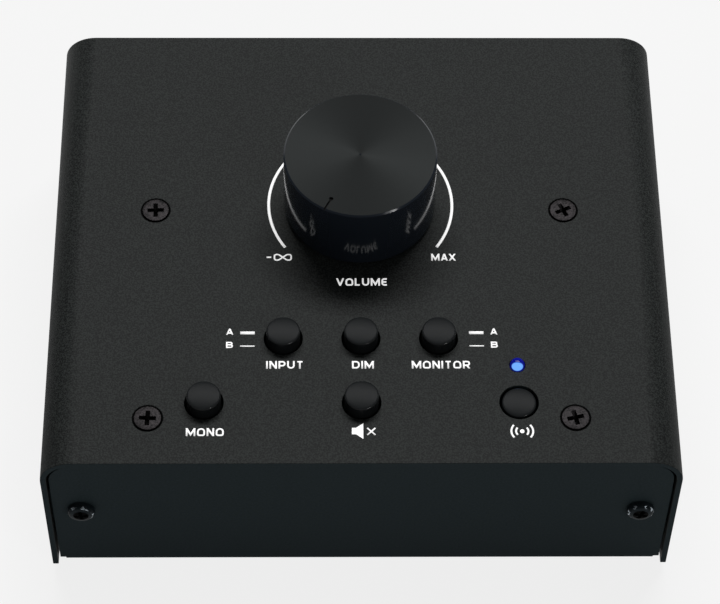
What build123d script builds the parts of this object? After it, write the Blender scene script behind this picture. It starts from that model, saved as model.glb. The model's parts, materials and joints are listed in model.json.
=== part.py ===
from build123d import *

import os

# Desktop studio monitor controller in a folded steel case, in millimetres.
# +Z is up and the origin lies on the desk under the middle of the case. The user sits at -Y, the
# sockets face +Y. One file is written for each piece; like fasteners share a file.

# ---- Case: a U-shaped cover over a U-shaped pan, both folded from the same steel sheet ----
cover_width = 130.0
cover_depth = 110.0
cover_height = 41.1  # lower edge of the side walls to the top face
sheet = 1.2
cover_bend = 7.0  # outside radius of the two long bends
cover_lip = 0.5  # the side walls reach this far below the pan
pan_bend = 1.6  # outside radius of the pan's bends
panel_setback = 0.5  # front and rear panels stand this far inside the cover's edges
pan_side_gap = 0.5  # between the pan and each side wall
panel_top_gap = 0.5  # between the panels' upper edges and the top plate
relief_width = 1.2  # notches at the ends of the pan's bends
relief_height = 1.6
foot_height = 2.5
foot_width = 12.0
foot_tread = 10.8  # its width on the desk
foot_inset_x = 14.0  # foot centres, in from the case's edges
foot_inset_y = 13.0

# ---- Metric M3 screws and what they pass through ----
screw_diameter = 3.0
thread_play = 0.05  # radial, between a screw and the thread that holds it
nut_play = 0.05
screw_clearance = 0.2  # radial, in a plain hole
countersunk_head = 5.6
countersunk_rim = 0.5  # straight part of the head, above its cone
countersink = 6.4
countersunk_length = 6.0
seat_play = 0.03
pan_head = 5.6
pan_head_height = 1.9
panel_screw_length = 6.0
top_screw_pitch = 86.6
front_screw_inset = 10.7  # of the top plate's screws, from its front edge
screw_row_pitch = 51.9
panel_screw_inset = 7.5  # in from the outside of the side walls
panel_screw_height = 22.3  # above the lower edge of the side walls
standoff_width = 5.5  # across flats
bracket_height = 12.0
bracket_leg = 10.0  # along the side wall
bracket_reach = 4.0  # past the screw, towards the middle
bracket_wall = 1.5

# ---- Circuit board and what stands on it ----
board_side_gap = 11.0  # to the case's side walls
board_front_gap = 4.3  # to the front panel
board_thickness = 1.6
board_rear_gap = 0.5
chip_length = 9.9
chip_width = 6.0
chip_height = 1.8
chip_x = 22.0
chip_y = 16.0
chip_pitch = 11.0
chip_count = 2
capacitor_length = 13.0
capacitor_width = 6.0
capacitor_height = 12.0
capacitor_x = 36.0
capacitor_inset = 7.8  # in from the board's rear edge
capacitor_pitch = 9.0
module_length = 20.0
module_width = 15.0
module_thickness = 0.8
module_inset = 18.8  # its middle, in from the board's edge
module_y = -14.0
shield_length = 13.0
shield_width = 11.4
shield_height = 2.0

# ---- Volume control ----
knob_inset = 64.2  # from the front edge of the top plate
knob_diameter = 32.0
knob_height = 16.7
knob_gap = 0.9  # above the top plate
knob_chamfer = 0.5
knob_cavity = 20.0  # clears the nut
knob_cavity_depth = 5.0
pointer_angle = -118.0  # from +X, with the knob turned fully down
pointer_length = 3.0
pointer_width = 0.4
pointer_depth = 0.4
pointer_dot = 0.9
pot_width = 19.0
pot_height = 16.0  # sets how far the board hangs below the plate
wafer_thickness = 1.2
lower_wafer = 4.2  # above the board
upper_wafer = 10.2
wafer_tab_width = 15.0
lower_tab_reach = 12.0  # pins of the lower wafer, from the shaft
upper_tab_reach = 14.4
tab_margin = 1.0
pin_pitch = 5.0
pin_width = 1.0
pin_thickness = 0.4
pin_tail = 1.8  # below the board
slot_play = 0.1
bushing_diameter = 9.0
bushing_height = 5.0  # above the pot housing
bushing_hole_play = 0.1
pot_nut_width = 12.0
pot_nut_height = 2.0
lug_width = 3.0
lug_thickness = 1.2
lug_distance = 8.0  # from the shaft, hidden under the knob
shaft_diameter = 6.0
shaft_play = 0.05
shaft_height = 15.0  # above the top plate
shaft_depth = 10.0  # into the housing
shaft_flat_depth = 1.5
shaft_flat_length = 9.0
knob_bore_play = 0.02
grub_diameter = 3.0
grub_length = 8.0
grub_height = 10.0  # above the top plate
grub_key = 1.5  # across flats
grub_key_depth = 1.6

# ---- Push buttons on latching switches ----
button_pitch = 16.0
lower_row_inset = 14.4  # from the front edge of the top plate
row_pitch = 15.6
button_hole = 8.0
cap_diameter = 7.0
cap_rise = 3.05  # above the top plate when out
button_travel = 3.3
latched_drop = 2.85  # of the one button that is latched in
cap_clearance = 0.45  # over the switch when fully pressed
switch_width = 8.4
switch_height = 8.0
switch_roof = 0.8
switch_floor = 0.6
switch_wall = 1.8
stem_width = 3.3
stem_play = 0.1
stem_grip = 4.0
stem_fit = 0.02
shoulder_width = 4.4
shoulder_height = 1.2

# ---- Status lamp ----
lamp_x = 32.0
lamp_inset = 23.4  # from the front edge of the top plate
lamp_diameter = 3.0
lamp_hole_play = 0.15
lamp_length = 5.3
lamp_crown = 0.9  # height and width of the bevel that rounds its top
lead_pitch = 2.54
lead_width = 0.5
lead_tail = 1.8

# ---- Sockets in the rear panel, hung under the board ----
jack_pitch = 14.5
jack_width = 13.4
jack_height = 13.2
jack_length = 26.0
jack_nose = 10.4
jack_bore = 6.5
jack_depth = 25.0
mini_width = 7.0
mini_height = 6.4
mini_length = 13.0
mini_nose = 6.0
mini_bore = 3.6
mini_depth = 13.0
nose_reach = 1.2  # of a socket's nose past the rear panel
panel_hole_play = 0.1
inlet_width = 9.0
inlet_height = 11.0
inlet_length = 14.0
inlet_bore = 5.7
inlet_depth = 9.0
inlet_pin = 2.0
inlet_pin_recess = 1.0
socket_gap = 1.4

# ---- Levels and places that follow from the sizes above ----
cover_bottom = foot_height - cover_lip
plate_top = cover_bottom + cover_height
plate_under = plate_top - sheet
front_edge = -cover_depth / 2
front_screw_y = front_edge + front_screw_inset
back_screw_y = front_screw_y + screw_row_pitch
knob_y = front_edge + knob_inset
lower_row_y = front_edge + lower_row_inset
upper_row_y = lower_row_y + row_pitch
lamp_y = front_edge + lamp_inset
panel_face = cover_depth / 2 - panel_setback
panel_back = panel_face - sheet
wall_inside = cover_width / 2 - sheet
board_top = plate_under - pot_height
board_bottom = board_top - board_thickness
board_rear = panel_back - board_rear_gap
board_front = -panel_back + board_front_gap
board_width = 2 * (wall_inside - board_side_gap)
module_x = -board_width / 2 + module_inset
panel_screw_z = cover_bottom + panel_screw_height
panel_screw_x = cover_width / 2 - panel_screw_inset
knob_bottom = plate_top + knob_gap
knob_top = knob_bottom + knob_height
switch_top = board_top + switch_height
cap_bottom = switch_top + button_travel + cap_clearance
cap_top = plate_top + cap_rise
shoulder_top = switch_top - switch_roof - stem_play
lamp_base = plate_top + lamp_diameter / 2 - lamp_length
overcut = 1.0  # how far a cutting tool stands past the face it opens

buttons = {
    "input": (-button_pitch, upper_row_y, 0.0),
    "dim": (0.0, upper_row_y, 0.0),
    "monitor": (button_pitch, upper_row_y, 0.0),
    "mono": (-2 * button_pitch, lower_row_y, 0.0),
    "mute": (0.0, lower_row_y, 0.0),
    "wireless": (2 * button_pitch, lower_row_y, latched_drop),
}
feet = {
    "foot_front_left": (-1, -1),
    "foot_front_right": (1, -1),
    "foot_back_left": (-1, 1),
    "foot_back_right": (1, 1),
}
top_screws_at = [
    (side * top_screw_pitch / 2, y) for side in (-1, 1) for y in (front_screw_y, back_screw_y)
]

# As many jack sockets as fit between the screw brackets, beside the inlet and the mini socket.
others_width = inlet_width + mini_width + 2 * socket_gap
jack_space = 2 * (panel_screw_x - bracket_reach) - others_width - jack_width
jack_count = int(jack_space // jack_pitch) + 1
socket_row = others_width + (jack_count - 1) * jack_pitch + jack_width
inlet_x = -socket_row / 2 + inlet_width / 2
mini_x = inlet_x + inlet_width / 2 + socket_gap + mini_width / 2
first_jack_x = mini_x + mini_width / 2 + socket_gap + jack_width / 2
jacks_x = [first_jack_x + place * jack_pitch for place in range(jack_count)]
jack_z = board_bottom - jack_height / 2
mini_z = board_bottom - mini_height / 2
inlet_z = board_bottom - inlet_height / 2

on_base = (Align.CENTER, Align.CENTER, Align.MIN)


# ---- Shapes used by several pieces ----
def rod(x, y, low, high, diameter):
    """Upright cylinder between two heights."""
    return Pos(x, y, low) * Cylinder(diameter / 2, high - low, align=on_base)


def lying_rod(x, z, front, back, diameter):
    """Cylinder along Y between two depths."""
    start = Plane(origin=(x, front, z), z_dir=(0, 1, 0))
    return start * Cylinder(diameter / 2, back - front, align=on_base)


def block(x, y, low, high, width, length):
    """Upright block centred on x and y."""
    return Pos(x, y, low) * Box(width, length, high - low, align=on_base)


def hexagon(width, height):
    """Hexagonal bar, with flats facing +X and -X."""
    outline = Rot(0, 0, 30) * RegularPolygon(width / 2, side_count=6, major_radius=False)
    return extrude(outline, height)


def folded_sheet(corners, bend, length):
    """Sheet folded along a path of corners, its outer face, and as long as given."""
    outer_face = FilletPolyline(*corners, radius=bend)
    section = make_face(outer_face.wire().offset_2d(sheet, side=Side.RIGHT))
    return extrude(section, length)


def pan_head_screw(length):
    """Screw with its head above z = 0 and its shank below."""
    return rod(0, 0, 0, pan_head_height, pan_head) + rod(0, 0, -length, 0, screw_diameter)


def screw_hole(x, y, low, high, play):
    """Upright cutter for a screw, open at both ends."""
    return rod(x, y, low - overcut, high + overcut, screw_diameter + 2 * play)


def countersink_cone(x, y):
    """Cutter for a 90 degree countersink from the top plate downwards."""
    depth = countersink / 2
    return Pos(x, y, plate_top - depth) * Cone(0, depth, depth, align=on_base)


# ---- Case ----
def top_cover():
    half = cover_width / 2
    corners = [
        (-half, cover_bottom),
        (-half, plate_top),
        (half, plate_top),
        (half, cover_bottom),
    ]
    channel = folded_sheet(corners, cover_bend, cover_depth)
    cover = Plane(origin=(0, cover_depth / 2, 0), x_dir=(1, 0, 0), z_dir=(0, -1, 0)) * channel
    for x, y, _ in buttons.values():
        cover -= rod(x, y, plate_under - overcut, plate_top + overcut, button_hole)
    for x, y in top_screws_at:
        cover -= countersink_cone(x, y)
        cover -= screw_hole(x, y, plate_under, plate_top, screw_clearance)
    lamp_hole = lamp_diameter + 2 * lamp_hole_play
    cover -= rod(lamp_x, lamp_y, plate_under - overcut, plate_top + overcut, lamp_hole)
    bushing_hole = bushing_diameter + 2 * bushing_hole_play
    cover -= rod(0, knob_y, plate_under - overcut, plate_top + overcut, bushing_hole)
    cover -= pot_lug(plate_under - overcut, plate_top + overcut, bushing_hole_play)
    return cover


def pan_tool(x, z, diameter):
    """Cutter through the rear panel."""
    return lying_rod(x, z, panel_back - overcut, panel_face + overcut, diameter)


def bottom_pan():
    pan_top = plate_under - panel_top_gap
    corners = [
        (panel_face, pan_top),
        (panel_face, foot_height),
        (-panel_face, foot_height),
        (-panel_face, pan_top),
    ]
    pan_width = 2 * (wall_inside - pan_side_gap)
    channel = folded_sheet(corners, pan_bend, pan_width)
    pan = Plane(origin=(-pan_width / 2, 0, 0), x_dir=(0, 1, 0), z_dir=(1, 0, 0)) * channel
    pan = fillet(pan.edges().filter_by(Axis.Y).group_by(Axis.Z)[-1], cover_bend - sheet)
    for side in (-1, 1):
        for end in (-1, 1):
            notch = Box(2 * relief_width, 2 * relief_height, 2 * relief_height)
            pan -= Pos(side * pan_width / 2, end * panel_face, foot_height) * notch
    hole = screw_diameter + 2 * screw_clearance
    for x in (-panel_screw_x, panel_screw_x):
        pan -= lying_rod(x, panel_screw_z, -cover_depth, cover_depth, hole)
    for x in jacks_x:
        pan -= pan_tool(x, jack_z, jack_nose + 2 * panel_hole_play)
    pan -= pan_tool(mini_x, mini_z, mini_nose + 2 * panel_hole_play)
    inlet_hole = Box(inlet_width, 2 * sheet, inlet_height)
    inlet_hole = offset(inlet_hole, panel_hole_play, kind=Kind.INTERSECTION)
    return pan - Pos(inlet_x, panel_face - sheet / 2, inlet_z) * inlet_hole


def foot(side, end):
    """Square rubber bumper, narrower on the desk than under the pan."""
    x = side * (cover_width / 2 - foot_inset_x)
    y = end * (cover_depth / 2 - foot_inset_y)
    near = (foot_width - foot_tread) / 2
    far = foot_width - near
    bumper = Wedge(foot_width, foot_height, foot_width, near, near, far, far)
    return Pos(x, y, foot_height / 2) * Rot(-90, 0, 0) * bumper


def screw_brackets():
    """Angles welded inside the side walls, threaded for the front and rear panel screws."""
    inner_x = panel_screw_x - bracket_reach
    inner_y = panel_back - bracket_wall
    leg_y = panel_back - bracket_leg
    leg_x = wall_inside - bracket_wall
    outline = Polyline(
        (inner_x, inner_y),
        (inner_x, panel_back),
        (wall_inside, panel_back),
        (wall_inside, leg_y),
        (leg_x, leg_y),
        (leg_x, inner_y),
        close=True,
    )
    angle = extrude(make_face(outline.edges()), bracket_height)
    angle = Pos(0, 0, panel_screw_z - bracket_height / 2) * angle
    thread = screw_diameter + 2 * thread_play
    angle -= lying_rod(panel_screw_x, panel_screw_z, 0, cover_depth, thread)
    back = [angle, mirror(angle, Plane.YZ)]
    front = [mirror(piece, Plane.XZ) for piece in back]
    return Compound(back + front)


# ---- Fasteners ----
def top_screw(x, y):
    """Countersunk screw: its cone lies in the top plate and its rim stands a little proud."""
    cone_top = plate_top - (countersink - countersunk_head) / 2 + seat_play
    depth = cone_top - plate_under
    wide = countersunk_head / 2
    head = Pos(x, y, plate_under) * Cone(wide - depth, wide, depth, align=on_base)
    head_top = cone_top + countersunk_rim
    rim = rod(x, y, cone_top, head_top, countersunk_head)
    shank = rod(x, y, head_top - countersunk_length, plate_under, screw_diameter)
    return head + rim + shank


def top_screws():
    return Compound([top_screw(x, y) for x, y in top_screws_at])


def panel_screws(end):
    """The two screws through the panel at -Y or +Y."""
    screws = []
    for x in (-panel_screw_x, panel_screw_x):
        seat = Plane(origin=(x, end * panel_face, panel_screw_z), z_dir=(0, end, 0))
        screws.append(seat * pan_head_screw(panel_screw_length))
    return Compound(screws)


def standoffs():
    """Threaded hexagonal pillars soldered to the board, which hang it from the top screws."""
    pillars = []
    for x, y in top_screws_at:
        pillar = Pos(x, y, board_top) * hexagon(standoff_width, plate_under - board_top)
        pillar -= screw_hole(x, y, board_top, plate_under, thread_play)
        pillars.append(pillar)
    return Compound(pillars)


# ---- Board ----
def pin_slot(x, y, width, length):
    """Cutter through the board for a flat pin."""
    wide = width + 2 * slot_play
    long = length + 2 * slot_play
    return block(x, y, board_bottom - overcut, board_top + overcut, wide, long)


def main_board():
    length = board_rear - board_front
    middle = (board_rear + board_front) / 2
    board = block(0, middle, board_bottom, board_top, board_width, length)
    for x, y in pot_pins_at():
        board -= pin_slot(x, y, pin_width, pin_thickness)
    for x in lamp_leads_x():
        board -= pin_slot(x, lamp_y, lead_width, lead_width)
    return board


def audio_chips():
    chips = []
    top = board_top + chip_height
    for place in range(chip_count):
        y = chip_y + place * chip_pitch
        for x in (-chip_x, chip_x):
            chips.append(block(x, y, board_top, top, chip_length, chip_width))
    return Compound(chips)


def film_capacitors():
    """Boxed film capacitors, two for each channel."""
    cases = []
    top = board_top + capacitor_height
    rear_row = board_rear - capacitor_inset
    for y in (rear_row - capacitor_pitch, rear_row):
        for x in (-capacitor_x, capacitor_x):
            cases.append(block(x, y, board_top, top, capacitor_length, capacitor_width))
    return Compound(cases)


def receiver_module():
    """Small radio board under a shield can."""
    top = board_top + module_thickness
    module = block(module_x, module_y, board_top, top, module_width, module_length)
    inset = (module_length - shield_length) / 4
    return module + block(
        module_x, module_y - inset, top, top + shield_height, shield_width, shield_length
    )


# ---- Volume control ----
def pot_lug(low, high, play):
    """Tongue on the pot's face that keeps it from turning in the plate."""
    wide = lug_thickness + 2 * play
    long = lug_width + 2 * play
    return block(lug_distance, knob_y, low, high, wide, long)


def wafer_tab(height, reach):
    """Straight tab of a track carrier, which holds its three pins."""
    low = board_top + height
    length = reach + tab_margin
    return block(0, knob_y - length / 2, low, low + wafer_thickness, wafer_tab_width, length)


def pot_housing():
    """Square two-gang case with a tab for each gang's pins and a blind bore for the shaft."""
    housing = block(0, knob_y, board_top, plate_under, pot_width, pot_width)
    housing += wafer_tab(lower_wafer, lower_tab_reach)
    housing += wafer_tab(upper_wafer, upper_tab_reach)
    housing += pot_lug(plate_under, plate_top, 0)
    bore = shaft_diameter + 2 * shaft_play
    floor = plate_under - shaft_depth - shaft_play
    return housing - rod(0, knob_y, floor, plate_under, bore)


def pot_pins_at():
    """Places of the six solder pins, three for each wafer."""
    rows = (knob_y - lower_tab_reach, knob_y - upper_tab_reach)
    return [(place * pin_pitch, y) for y in rows for place in (-1, 0, 1)]


def wafer_low(y):
    """Underside of the wafer that a pin at this y hangs from."""
    lower = y > knob_y - (lower_tab_reach + upper_tab_reach) / 2
    return board_top + (lower_wafer if lower else upper_wafer)


def pot_pins():
    low = board_bottom - pin_tail
    return Compound(
        [block(x, y, low, wafer_low(y), pin_width, pin_thickness) for x, y in pot_pins_at()]
    )


def pot_bushing():
    """Threaded sleeve that the shaft turns in."""
    top = plate_under + bushing_height
    sleeve = rod(0, knob_y, plate_under, top, bushing_diameter)
    return sleeve - rod(0, knob_y, plate_under, top, shaft_diameter + 2 * shaft_play)


def pot_nut():
    """Nut that holds the pot to the top plate, under the knob."""
    nut = Pos(0, knob_y, plate_top) * hexagon(pot_nut_width, pot_nut_height)
    top = plate_top + pot_nut_height
    return nut - rod(0, knob_y, plate_top, top, bushing_diameter + 2 * nut_play)


def at_pointer(shape):
    """Carries a shape made about the Z axis, pointer along +X, to the knob's place."""
    return Pos(0, knob_y, 0) * Rot(0, 0, pointer_angle) * shape


def pot_shaft():
    """Round shaft with a flat on the side away from the pointer."""
    top = plate_top + shaft_height
    shaft = rod(0, 0, plate_under - shaft_depth, top, shaft_diameter)
    face = shaft_diameter / 2 - shaft_flat_depth
    middle = -face - shaft_diameter / 2
    low = top - shaft_flat_length
    shaft -= block(middle, 0, low, top, shaft_diameter, shaft_diameter)
    return at_pointer(shaft)


def grub_hole(diameter, start, end):
    """Radial cylinder on the side away from the pointer."""
    level = Plane(origin=(-start, 0, plate_top + grub_height), z_dir=(-1, 0, 0))
    return level * Cylinder(diameter / 2, end - start, align=on_base)


def volume_knob():
    """Turned aluminium knob, hollow under its rim to clear the nut, with a milled pointer."""
    radius = knob_diameter / 2
    knob = rod(0, 0, knob_bottom, knob_top, knob_diameter)
    knob = chamfer(knob.edges().sort_by(Axis.Z)[-1], knob_chamfer)
    knob -= rod(0, 0, knob_bottom, knob_bottom + knob_cavity_depth, knob_cavity)
    bore_top = plate_top + shaft_height + knob_bore_play
    knob -= rod(0, 0, knob_bottom, bore_top, shaft_diameter + 2 * knob_bore_play)
    knob -= grub_hole(grub_diameter + 2 * thread_play, 0, knob_diameter)
    dot_at = radius - pointer_length
    floor = knob_top - pointer_depth
    middle = dot_at + knob_diameter / 2
    knob -= block(middle, 0, floor, knob_top + overcut, knob_diameter, pointer_width)
    knob -= rod(dot_at, 0, floor, knob_top + overcut, pointer_dot)
    return at_pointer(knob)


def knob_grub_screw():
    start = shaft_diameter / 2 - shaft_flat_depth
    screw = grub_hole(grub_diameter, start, start + grub_length)
    key_at = Plane(origin=(-start - grub_length, 0, plate_top + grub_height), z_dir=(1, 0, 0))
    return at_pointer(screw - key_at * hexagon(grub_key, grub_key_depth))


# ---- Push buttons ----
def button_cap(x, y, drop):
    """Round cap with a square socket for the switch's stem."""
    cap = rod(0, 0, cap_bottom, cap_top, cap_diameter)
    socket = stem_width + 2 * stem_fit
    cap -= block(0, 0, cap_bottom, cap_bottom + stem_grip, socket, socket)
    return Pos(x, y, -drop) * cap


def switch_plunger(x, y, drop):
    """Square stem with a shoulder that stays under the switch's roof."""
    stem = block(0, 0, shoulder_top, cap_bottom + stem_grip, stem_width, stem_width)
    low = shoulder_top - shoulder_height
    shoulder = block(0, 0, low, shoulder_top, shoulder_width, shoulder_width)
    return Pos(x, y, -drop) * (stem + shoulder)


def switch_housing(x, y):
    """Square case, hollow below its roof, open where the stem comes out."""
    case = block(x, y, board_top, switch_top, switch_width, switch_width)
    room = switch_width - 2 * switch_wall
    case -= block(x, y, board_top + switch_floor, switch_top - switch_roof, room, room)
    opening = stem_width + 2 * stem_play
    return case - block(x, y, switch_top - switch_roof, switch_top, opening, opening)


# ---- Lamp ----
def lamp_leads_x():
    return (lamp_x - lead_pitch / 2, lamp_x + lead_pitch / 2)


def lamp_lens():
    """Lamp whose top is rounded off above the plate."""
    lens = rod(lamp_x, lamp_y, lamp_base, lamp_base + lamp_length, lamp_diameter)
    return chamfer(lens.edges().sort_by(Axis.Z)[-1], lamp_crown)


def lamp_leads():
    low = board_bottom - lead_tail
    return Compound(
        [block(x, lamp_y, low, lamp_base, lead_width, lead_width) for x in lamp_leads_x()]
    )


# ---- Sockets ----
def socket(x, width, height, length, nose, bore, depth):
    """Socket under the board: block behind the panel, nose through it, blind bore."""
    front = panel_face + nose_reach
    body = block(x, panel_back - length / 2, board_bottom - height, board_bottom, width, length)
    z = board_bottom - height / 2
    body += lying_rod(x, z, panel_back, front, nose)
    return body - lying_rod(x, z, front - depth, front, bore)


def jack_socket(x):
    return socket(x, jack_width, jack_height, jack_length, jack_nose, jack_bore, jack_depth)


def mini_socket():
    return socket(mini_x, mini_width, mini_height, mini_length, mini_nose, mini_bore, mini_depth)


def power_inlet():
    """Square-fronted inlet for a barrel plug, with its centre pin."""
    front = panel_face + nose_reach
    middle = front - inlet_length / 2
    low = board_bottom - inlet_height
    body = block(inlet_x, middle, low, board_bottom, inlet_width, inlet_length)
    bottom = front - inlet_depth
    body -= lying_rod(inlet_x, inlet_z, bottom, front, inlet_bore)
    return body + lying_rod(inlet_x, inlet_z, bottom, front - inlet_pin_recess, inlet_pin)


# ---- All pieces ----
pieces = {
    "top_cover": top_cover(),
    "bottom_pan": bottom_pan(),
    "screw_brackets": screw_brackets(),
    "top_screws": top_screws(),
    "front_screws": panel_screws(-1),
    "rear_screws": panel_screws(1),
    "standoffs": standoffs(),
    "main_board": main_board(),
    "audio_chips": audio_chips(),
    "film_capacitors": film_capacitors(),
    "receiver_module": receiver_module(),
    "pot_housing": pot_housing(),
    "pot_pins": pot_pins(),
    "pot_bushing": pot_bushing(),
    "pot_nut": pot_nut(),
    "pot_shaft": pot_shaft(),
    "volume_knob": volume_knob(),
    "knob_grub_screw": knob_grub_screw(),
    "lamp_lens": lamp_lens(),
    "lamp_leads": lamp_leads(),
    "jack_sockets": Compound([jack_socket(x) for x in jacks_x]),
    "mini_socket": mini_socket(),
    "power_inlet": power_inlet(),
}
for name, (side, end) in feet.items():
    pieces[name] = foot(side, end)
for name, (x, y, drop) in buttons.items():
    pieces[name + "_button"] = button_cap(x, y, drop)
    pieces[name + "_plunger"] = switch_plunger(x, y, drop)
    pieces[name + "_switch"] = switch_housing(x, y)

os.makedirs("parts", exist_ok=True)
for name, piece in pieces.items():
    export_step(piece, f"parts/{name}.step")
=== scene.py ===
"""Studio monitor controller over its packed frame: paint, printing, knob, buttons and screws."""

import json
from contextlib import contextmanager
from math import atan2, cos, dist, pi, radians, sin, tan

import bmesh
import bpy
from bpy.props import FloatProperty, FloatVectorProperty, PointerProperty
from bpy.types import Operator, Panel, PropertyGroup
from mathutils import Matrix, Quaternion, Vector

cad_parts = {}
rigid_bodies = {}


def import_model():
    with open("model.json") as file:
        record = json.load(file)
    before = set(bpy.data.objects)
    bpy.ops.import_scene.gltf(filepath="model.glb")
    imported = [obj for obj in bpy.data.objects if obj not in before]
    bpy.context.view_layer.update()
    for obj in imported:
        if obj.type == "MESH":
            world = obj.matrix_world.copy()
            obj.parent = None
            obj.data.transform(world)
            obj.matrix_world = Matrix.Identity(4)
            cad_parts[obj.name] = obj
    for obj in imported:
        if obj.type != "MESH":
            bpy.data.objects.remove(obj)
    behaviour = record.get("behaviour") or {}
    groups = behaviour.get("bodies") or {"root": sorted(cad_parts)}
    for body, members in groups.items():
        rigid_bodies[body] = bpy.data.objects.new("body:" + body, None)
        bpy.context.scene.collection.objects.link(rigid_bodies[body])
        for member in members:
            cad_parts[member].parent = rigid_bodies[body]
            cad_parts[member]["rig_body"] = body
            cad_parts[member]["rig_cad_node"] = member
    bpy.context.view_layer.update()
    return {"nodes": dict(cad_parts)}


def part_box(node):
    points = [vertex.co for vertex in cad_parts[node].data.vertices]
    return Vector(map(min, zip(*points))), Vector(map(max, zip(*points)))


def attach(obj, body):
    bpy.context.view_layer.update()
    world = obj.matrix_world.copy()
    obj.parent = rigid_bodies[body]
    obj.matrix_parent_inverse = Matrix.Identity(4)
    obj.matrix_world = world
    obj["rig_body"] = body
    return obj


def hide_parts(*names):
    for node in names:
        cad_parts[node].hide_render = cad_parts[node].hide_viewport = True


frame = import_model()

bl_info = {
    "name": "Monitor Controller",
    "version": (1, 0, 0),
    "blender": (4, 5, 0),
    "location": "View3D > Sidebar > Controller",
    "description": "Models and paints a desktop studio monitor controller over its packed frame",
    "category": "Object",
}

MM = 0.001
MERGE = 0.001 * MM  # corners nearer than this are one
HAIR = 0.02 * MM  # clearance of the knob's bore, least radius of a tool, and margin of tests
POLE = 0.02  # share of a turned face's radius at which it ends in a tiny flat
HEAD_RADIUS = 2.8 * MM  # of the countersunk screws
SHANK_RADIUS = 1.5 * MM  # of all screws
STEM_HOLE = 3.34 * MM  # width of the square hole under each cap
CORE_POINT = 1.35  # depth of a cross recess's pointed core, against its wings' depth
FLAT = 0.93  # upward part of its normal from which a face is flat, not part of a rim
BUTTONS = ("input", "dim", "monitor", "mono", "mute", "wireless")
FEET = ("foot_front_left", "foot_front_right", "foot_back_left", "foot_back_right")
plate_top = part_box("top_cover")[1].z


# ---- Colours, settings and shader nodes ----
def colour(code):
    """Linear RGBA of an sRGB hex colour."""
    shares = [int(code[place : place + 2], 16) / 255 for place in (1, 3, 5)]
    return (*[s / 12.92 if s <= 0.04045 else ((s + 0.055) / 1.055) ** 2.4 for s in shares], 1.0)


def paint(name, about, code):
    return FloatVectorProperty(
        name=name, description=about, subtype="COLOR", size=4, min=0, max=1, default=colour(code)
    )


def length(name, about, millimetres):
    size = millimetres * MM
    return FloatProperty(name=name, description=about, unit="LENGTH", default=size, precision=5)


def angle(name, about, degrees):
    return FloatProperty(name=name, description=about, subtype="ANGLE", default=radians(degrees))


def number(name, about, value):
    return FloatProperty(name=name, description=about, default=value)


def add(tree, kind, inputs=None, stops=(), **settings):
    """Adds a shader node. Inputs are values, or (node, output name) pairs to link.

    Stops are the places and colours of a ramp's two ends.
    """
    made = tree.nodes.new("ShaderNode" + kind)
    for name, value in settings.items():
        setattr(made, name, value)
    for end, (place, tone) in enumerate(stops):
        made.color_ramp.elements[end].position = place
        made.color_ramp.elements[end].color = tone
    for socket, value in (inputs or {}).items():
        if isinstance(value, tuple) and isinstance(value[0], bpy.types.Node):
            tree.links.new(value[0].outputs[value[1]], made.inputs[socket])
        else:
            made.inputs[socket].default_value = value
    return made


def grain(tree, size, detail=2.0):
    """Noise in object coordinates whose grains are about as large as given."""
    place = add(tree, "TexCoord")
    inputs = {"Vector": (place, "Object"), "Scale": 1 / size, "Detail": detail}
    return (add(tree, "TexNoise", inputs), "Fac")


def surface(tree, pattern=None, tones=(), ends=(0.3, 0.7), rough=(), height=0, **inputs):
    """Principled shader. Its tones, roughness and relief follow the pattern, where they are given.

    Ends are the shares of the pattern at which the two tones are pure. The other inputs have _ for
    each space in their names.
    """
    inputs = {name.replace("_", " "): value for name, value in inputs.items()}
    if tones:
        ramp = add(tree, "ValToRGB", {"Fac": pattern}, zip(ends, tones))
        inputs["Base Color"] = (ramp, "Color")
    if rough:
        span = add(tree, "MapRange", {"Value": pattern, "To Min": rough[0], "To Max": rough[1]})
        inputs["Roughness"] = (span, "Result")
    if height:
        bump = add(tree, "Bump", {"Height": pattern, "Distance": height, "Strength": 1.0})
        inputs["Normal"] = (bump, "Normal")
    shader = add(tree, "BsdfPrincipled", inputs)
    add(tree, "OutputMaterial", {"Surface": (shader, "BSDF")})


def plain(tree, low, high, size, relief, rough, **more):
    """Finish whose looks follow one fine noise. Its size and its relief are in millimetres."""
    tones = colour(low), colour(high)
    surface(tree, grain(tree, size * MM), tones, rough=rough, height=relief * MM, **more)


# ---- Materials ----
def powder_coated_steel(tree):
    """Steel sheet with black polyester powder baked on: a fine sandy matt skin."""
    case = bpy.context.scene.controller_case
    surface(
        tree,
        grain(tree, case.grain, 3.0),
        (case.paint_deep[:], case.paint_light[:]),
        ends=(0.42, 0.6),
        rough=(0.5, 0.7),
        height=case.grain_height,
        Specular_IOR_Level=0.11,
    )


def smooth_coated_steel(tree):
    """Finer, duller pan coat than the cover's; its lighter, faintly blue tone is painted light."""
    plain(tree, "#20282a", "#272f32", 0.5, 0.02, (0.5, 0.65), Specular_IOR_Level=0.015)


def painted_recess_shade(tree):
    """Dead matt near-black under and inside screw heads: painted shade."""
    plain(tree, "#030303", "#070707", 0.3, 0.01, (0.8, 0.95), Specular_IOR_Level=0.05)


def black_oxide_steel(tree):
    """Screw steel, blackened: dark, with the speckled shine of its pressed face."""
    plain(tree, "#0f0f0f", "#272526", 0.35, 0.02, (0.38, 0.55), Metallic=1.0)


def black_zinc_steel(tree):
    """Screw steel under black zinc: as dark as the panel round it, with hardly any shine."""
    plain(tree, "#171d20", "#1f262a", 0.7, 0.03, (0.3, 0.4), Specular_IOR_Level=0.03)


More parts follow.
